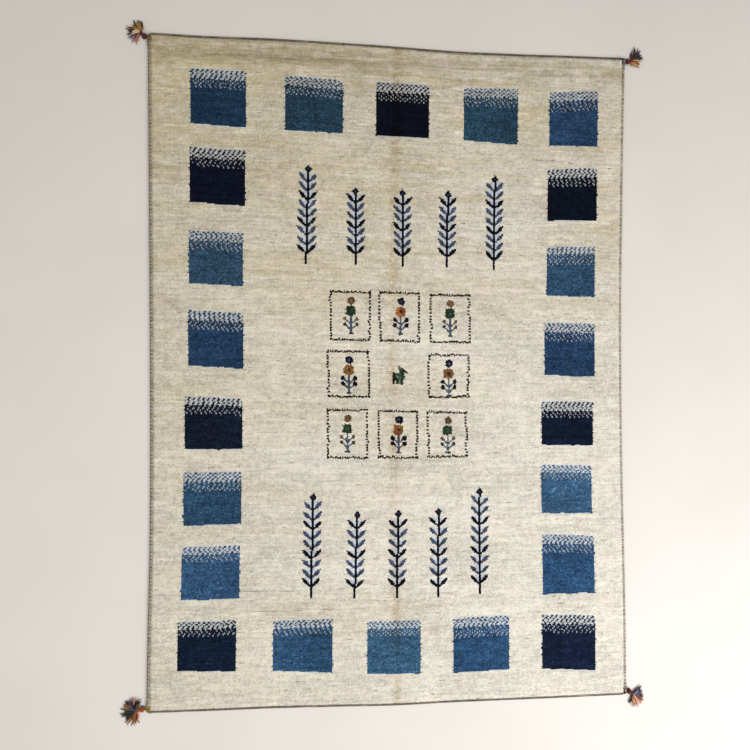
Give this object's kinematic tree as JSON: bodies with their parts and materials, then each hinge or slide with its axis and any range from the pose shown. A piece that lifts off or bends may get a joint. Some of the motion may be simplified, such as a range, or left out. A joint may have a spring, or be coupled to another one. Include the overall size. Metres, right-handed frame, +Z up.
{
  "type": "gabbeh rug",
  "caption": "Flat hand-knotted wool rug with overcast side cords, woven end strips and a small wool tassel at each corner.",
  "frame": {"origin": "the middle of the cloth's flat underside, where the rug rests on the floor", "axes": "+Z up through the pile; +Y along the warps, the long way, towards the end that the trees point to; +X along the wefts, to the right seen from above"},
  "size_m": [1.6553, 2.1589, 0.0144],
  "materials": {
    "pile": "matt ivory wool pile with blue, green and rust motifs",
    "side_cord": "matt two-colour wool overcasting",
    "tassel_yarn": "matt wool yarn in many colours"
  },
  "bodies": {
    "root": {"rug_body": "pile", "selvedge_left": "side_cord", "selvedge_right": "side_cord", "tassel_top_left": "tassel_yarn", "tassel_top_right": "tassel_yarn", "tassel_bottom_left": "tassel_yarn", "tassel_bottom_right": "tassel_yarn"}
  },
  "joints": []
}
